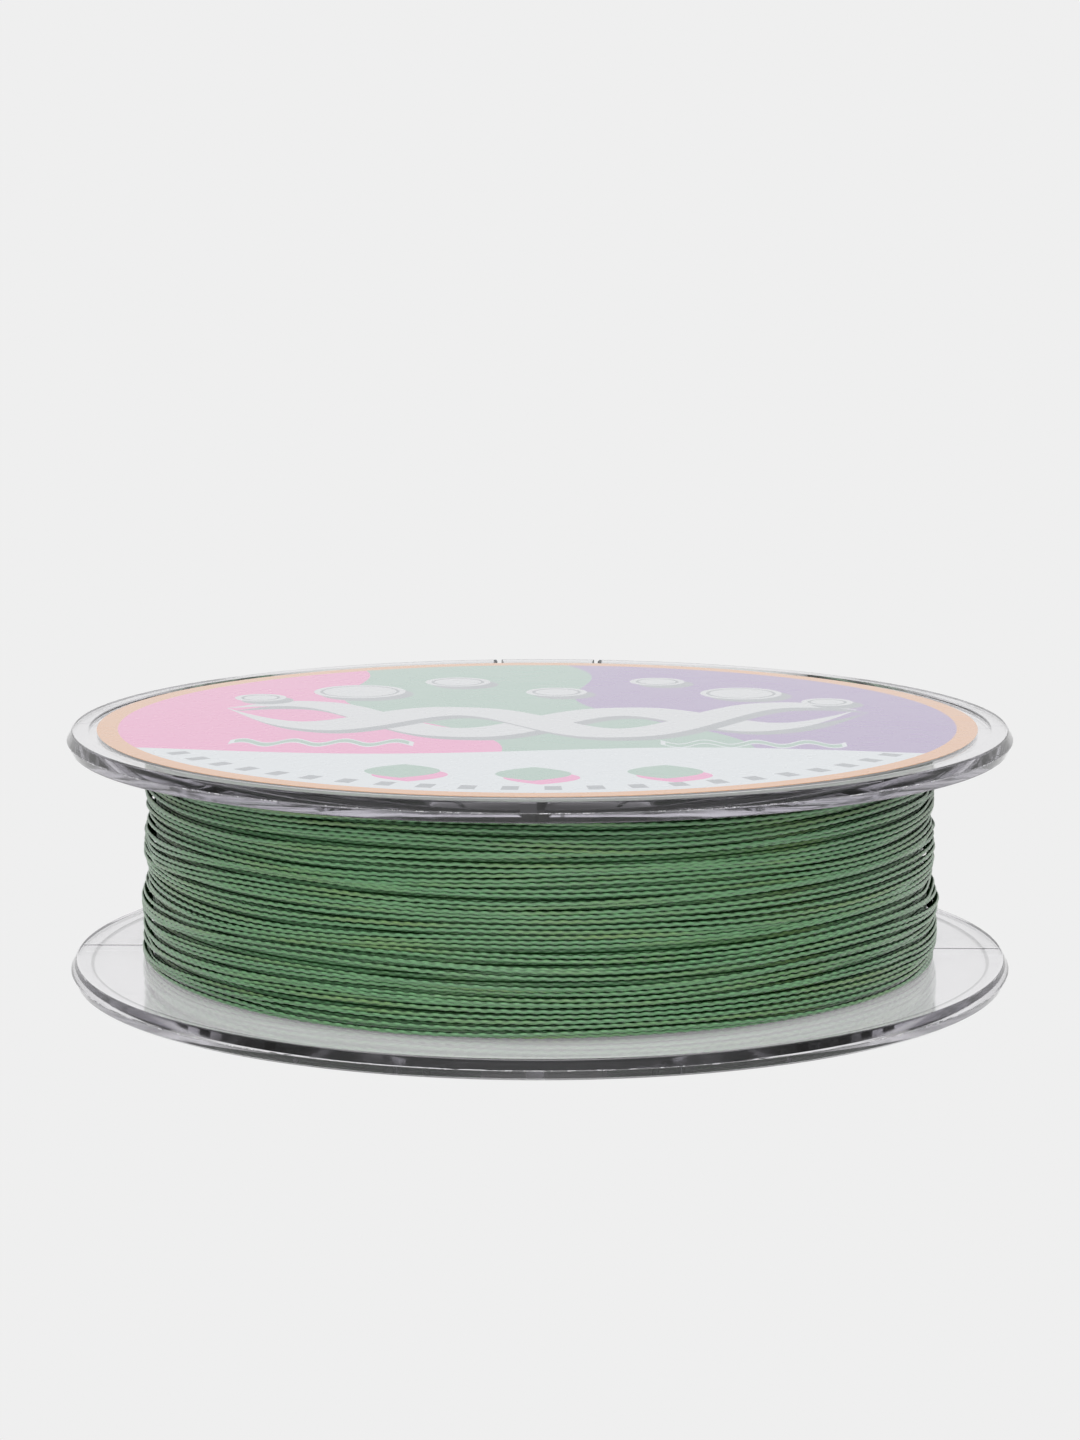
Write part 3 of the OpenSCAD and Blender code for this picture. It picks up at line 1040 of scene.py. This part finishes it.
def label_print():
    """A generic print of swept colour fields with a pale plait and small motifs, in a ring."""
    n = Nodes("label_print")
    x, y, z, vector = n.place()
    radius = n.length(n.math("SUBTRACT", x, LABEL_CENTRE_X), y)
    shadow_x, shadow_y = n.math("SUBTRACT", x, SHADOW_X), n.math("SUBTRACT", y, SHADOW_Y)
    colour = colour_fields(n, x, y)
    for phase in (0.0, math.pi):
        shadow = n.below(plait(n, shadow_x, shadow_y, phase), 0.0, SHADOW_SOFT)
        colour = n.mix(shadow, colour, SHADE)
        colour = n.mix(n.below(plait(n, x, y, phase), 0.0), colour, PALE)
    colour = n.mix(n.below(bubbles(n, shadow_x, shadow_y), 0.0, SHADOW_SOFT), colour, SHADE)
    disc = bubbles(n, x, y)
    colour = n.mix(n.below(disc, 0.0), colour, PALE)
    line = n.below(n.distance(disc, -BUBBLE_LINE_IN), BUBBLE_LINE_HALF_W)
    colour = n.mix(line, colour, SHADE)
    behind = leaves(n, n.math("SUBTRACT", x, LEAF_SHIFT_X), shadow_y)
    colour = n.mix(n.below(behind, 0.0), colour, PINK)
    colour = n.mix(n.below(leaves(n, x, y), 0.0), colour, GREEN)
    waves = wavelets(n, x, y)
    colour = n.mix(n.below(waves, WAVELET_RIM), colour, PAPER_WHITE)
    colour = n.mix(n.below(waves, 0.0), colour, GREEN)
    colour = n.mix(ticks(n, x, y, radius), colour, SHADE)
    colour = n.mix(n.ramp(radius, *RING_STEP), colour, ORANGE)
    specks = n.ramp(n.noise(vector, *INK_NOISE), *INK_STEP)
    colour = n.mix(n.math("MULTIPLY", specks, INK_SPECKS), colour, PAPER_WHITE)
    # Painted shade: below the printed face, the label's back and edge are grey
    colour = n.mix(n.ramp(z, *PRINT_Z_STEP), SHADED_BACKING, colour)
    shader = n.add("ShaderNodeBsdfPrincipled", {
        "Base Color": colour,
        "Specular IOR Level": PAPER_SPECULAR,
        "Roughness": n.scale_to(n.noise(vector, *PAPER_NOISE), *PAPER_ROUGHNESS),
        "Coat Weight": 1.0,
        "Coat Roughness": COAT_ROUGHNESS,
    })
    return n.finish(shader)


YARN = rgb(0.18, 0.47, 0.20)
OLIVE_YARN = rgb(0.26, 0.45, 0.13)
# Painted shade: the near-black green of the grooves between turns, and where round the strand it
# gives way
GROOVE_SHADE = rgb(0.006, 0.03, 0.006)
GROOVE_SHADE_STEP = (0.15, 0.8)
CROWN_STEP = (-0.7, 0.7)

# The tone from painted shade to full yarn: a plain level, the painted highlight that crowns add,
# and what fibres add
PLAIN_TONE = 0.15
CROWN_HIGHLIGHT = 0.7
FIBRE_TONE = 0.3
# The share of yarn in the painted shade colour that the tone starts from
SHADED_YARN_SHARE = 0.12

FIBRES_AROUND = 16.0
FIBRES_ALONG = 2.0
FIBRE_NOISE = (2.0, 2.0)
FIBRE_HEIGHT = 0.3
DYE_ALONG = 0.05
DYE_NOISE = (1.0, 3.0)
DYE_STEP = (0.45, 0.75)
BRAID_BUMP = (0.8, 0.05)
WAX_IOR = 1.62
WAX_SHINE = 0.9
WAX_ROUGHNESS = (0.3, 0.45)
FIBRE_SHEEN = 0.6
SHEEN_ROUGHNESS = 0.4


def braided_line():
    """Waxed green braid: staggered crowns with a painted highlight, painted shade in the grooves
    between turns, and fine fibres.
    """
    n = Nodes("green_braid")
    uv = n.add("ShaderNodeUVMap", uv_map=STRAND_UV)
    around, along, _ = n.add("ShaderNodeSeparateXYZ", {0: uv}).outputs
    turn = n.math("MULTIPLY", around, 2 * math.pi)
    # Painted shade on the strand's sides, where it lies in the groove by its neighbours
    unshaded_side = n.ramp(n.math("COSINE", turn), *GROOVE_SHADE_STEP)
    side = n.math("SINE", turn)
    lean = n.math("MULTIPLY", n.math("MULTIPLY", side, side), CHEVRON)
    beat = n.math("COSINE", n.math("MULTIPLY_ADD", along, 2 * math.pi, lean))
    crown = n.ramp(n.math("MULTIPLY", side, beat), *CROWN_STEP)
    fibre_place = n.add("ShaderNodeCombineXYZ", {
        0: n.math("MULTIPLY", around, FIBRES_AROUND),
        1: n.math("MULTIPLY", along, FIBRES_ALONG),
    })
    fibres = n.noise(fibre_place, *FIBRE_NOISE)
    dye_place = n.add("ShaderNodeCombineXYZ", {0: n.math("MULTIPLY", along, DYE_ALONG)})
    dye = n.ramp(n.noise(dye_place, *DYE_NOISE), *DYE_STEP)

    # Fibres vary the yarn's own tone. Crowns add a painted highlight, with painted shade between
    # them.
    tone = n.math("MULTIPLY_ADD", fibres, FIBRE_TONE, PLAIN_TONE)
    tone = n.math("MULTIPLY_ADD", crown, CROWN_HIGHLIGHT, tone, clamp=True)
    shaded_yarn = n.mix(SHADED_YARN_SHARE, GROOVE_SHADE, YARN)
    waxed = n.mix(tone, shaded_yarn, n.mix(dye, YARN, OLIVE_YARN))
    height = n.math("MULTIPLY_ADD", fibres, FIBRE_HEIGHT, crown)
    # The grooves get the painted shade colour, and less shine and sheen
    shader = n.add("ShaderNodeBsdfPrincipled", {
        "Base Color": n.mix(unshaded_side, GROOVE_SHADE, waxed),
        "Roughness": n.scale_to(fibres, *WAX_ROUGHNESS),
        "IOR": WAX_IOR,
        "Specular IOR Level": n.math("MULTIPLY", unshaded_side, WAX_SHINE),
        "Sheen Weight": n.math("MULTIPLY", unshaded_side, FIBRE_SHEEN),
        "Sheen Roughness": SHEEN_ROUGHNESS,
        "Normal": n.bump(height, *BRAID_BUMP),
    })
    return n.finish(shader)


TAPE_DARK = rgb(0.62, 0.62, 0.55)
TAPE_LIGHT = rgb(0.74, 0.74, 0.68)
TAPE_NOISE = (3.0, 3.0)
TAPE_ROUGHNESS = (0.4, 0.6)
TAPE_BUMP = (0.2, 0.02)


def tape_film():
    """Matt clear tape."""
    n = Nodes("tape_film")
    _, _, _, vector = n.place()
    grain = n.noise(vector, *TAPE_NOISE)
    shader = n.add("ShaderNodeBsdfPrincipled", {
        "Base Color": n.mix(grain, TAPE_DARK, TAPE_LIGHT),
        "Roughness": n.scale_to(grain, *TAPE_ROUGHNESS),
        "Normal": n.bump(grain, *TAPE_BUMP),
    })
    return n.finish(shader)


# Where the floor's shade changes, as radii
DRUM_SHADE_STEP = (HUB_R + 2, PACK_R)
PACK_SHADE_STEP = (PACK_R - 2.5, PACK_R + 1)
LIP_SHADE_HALF_W = 0.12
RIM_SHADE_STEP = (FLANGE_R - 0.8, FLANGE_R - 0.2)


def studio_floor():
    """Paper on a light table, seen from above only, with painted shade under drum, pack and lip."""
    n = Nodes("studio_floor")
    x, y, _, _ = n.place()
    radius = n.length(x, y)
    # Painted shade: the glow is lower inside the drum's footprint, by the pack and along the lip.
    shaded = n.scale_to(n.ramp(radius, *DRUM_SHADE_STEP), INSIDE_HUB, UNDER_FLANGE)
    by_pack = n.scale_to(n.ramp(radius, *PACK_SHADE_STEP), BY_PACK, 1)
    by_lip = n.scale_to(n.below(n.distance(radius, RECESS_R), LIP_SHADE_HALF_W), 1, BY_LIP)
    shaded = n.math("MULTIPLY", shaded, n.math("MULTIPLY", by_pack, by_lip))
    outside = n.ramp(radius, *RIM_SHADE_STEP)
    seen = n.math("MULTIPLY_ADD", outside, PAPER - UNDER_FLANGE, shaded)
    path = n.add("ShaderNodeLightPath")
    bounced = n.math("GREATER_THAN", path.outputs["Diffuse Depth"], 0.5)
    level = n.blend(bounced, seen, FLOOR_BOUNCE)
    glow = n.add("ShaderNodeEmission", {"Color": WHITE, "Strength": level})
    clear = n.add("ShaderNodeBsdfTransparent")
    from_below = n.add("ShaderNodeNewGeometry").outputs["Backfacing"]
    return n.finish(n.add("ShaderNodeMixShader", {0: from_below, 1: glow, 2: clear}))


# ---------------------------------------------------------------- studio and camera

CAMERA_AT = (5.086, -264.89, 59.08)
CAMERA_PITCH = math.radians(8.664)
CAMERA_LENS = 89.93
CAMERA_SENSOR = 36.0
CAMERA_NEAR = 10.0
CAMERA_FAR = 50000.0
FLOOR_HALF = 4000.0
FLOOR_Z = -0.03

# Bounces enough for light to cross both flanges and the drum
CLEAR_BOUNCES = 32
MIRROR_BOUNCES = 24


def build_camera():
    """The photo's camera, fitted to the spool's circles. It looks at the axis, a little down."""
    data = bpy.data.cameras.new("camera")
    data.lens = CAMERA_LENS
    data.sensor_width = CAMERA_SENSOR
    data.clip_start = CAMERA_NEAR * MM
    data.clip_end = CAMERA_FAR * MM
    camera = bpy.data.objects.new("camera", data)
    bpy.context.scene.collection.objects.link(camera)
    place = Vector(CAMERA_AT) * MM
    level = Vector((-place.x, -place.y, 0.0)).normalized()
    aim = level * math.cos(CAMERA_PITCH) + Vector((0, 0, -math.sin(CAMERA_PITCH)))
    camera.location = place
    camera.rotation_euler = aim.to_track_quat("-Z", "Y").to_euler()
    bpy.context.scene.camera = camera


def build_world():
    """A pale studio with a soft key by the camera, a top light and a darker side in front."""
    n = Nodes("studio", bpy.data.worlds)
    towards = n.add("ShaderNodeTexCoord").outputs["Generated"]
    _, north, up = n.add("ShaderNodeSeparateXYZ", {0: towards}).outputs
    path = n.add("ShaderNodeLightPath")
    in_front = n.math("MULTIPLY", n.ramp(north, *FRONT_TO_NORTH), n.ramp(up, *FRONT_TO_TOP))
    room = n.scale_to(in_front, ROOM, FRONT_ROOM)
    aim = n.add("ShaderNodeVectorMath", {0: towards, 1: KEY_TOWARDS}, operation="DOT_PRODUCT")
    key_level = n.scale_to(path.outputs["Is Glossy Ray"], KEY_LEVEL, KEY_MIRRORED)
    key = n.math("MULTIPLY", n.ramp(aim.outputs["Value"], KEY_EDGE, KEY_FULL), key_level)
    lights = n.math("MULTIPLY_ADD", n.ramp(up, *TOP_SPREAD), TOP_LEVEL, key)
    room = n.math("ADD", room, lights)
    level = n.blend(path.outputs["Is Camera Ray"], room, PAPER)
    background = n.add("ShaderNodeBackground", {"Color": WHITE, "Strength": level})
    n.add("ShaderNodeOutputWorld", {"Surface": background})
    bpy.context.scene.world = n.owner


def build_floor():
    """The sheet of paper, just under the spool so that the two don't share a face."""
    half, z = FLOOR_HALF * MM, FLOOR_Z * MM
    mesh = bpy.data.meshes.new("floor")
    corners = [(-half, -half, z), (half, -half, z), (half, half, z), (-half, half, z)]
    mesh.from_pydata(corners, [], [(0, 1, 2, 3)])
    mesh.materials.append(studio_floor())
    floor = bpy.data.objects.new("floor", mesh)
    bpy.context.scene.collection.objects.link(floor)


# ---------------------------------------------------------------- the scene

scene = bpy.context.scene
scene.view_settings.view_transform = "Standard"
scene.cycles.max_bounces = CLEAR_BOUNCES
scene.cycles.transmission_bounces = CLEAR_BOUNCES
scene.cycles.glossy_bounces = MIRROR_BOUNCES
build_camera()
build_world()
build_floor()

build_spool(clear_plastic())
braid = braided_line()
build_core(braid)
build_turns(braid)

for node, material in (("front_label", label_print()), ("line_start_tape", tape_film())):
    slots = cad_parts[node].data.materials
    slots.clear()
    slots.append(material)
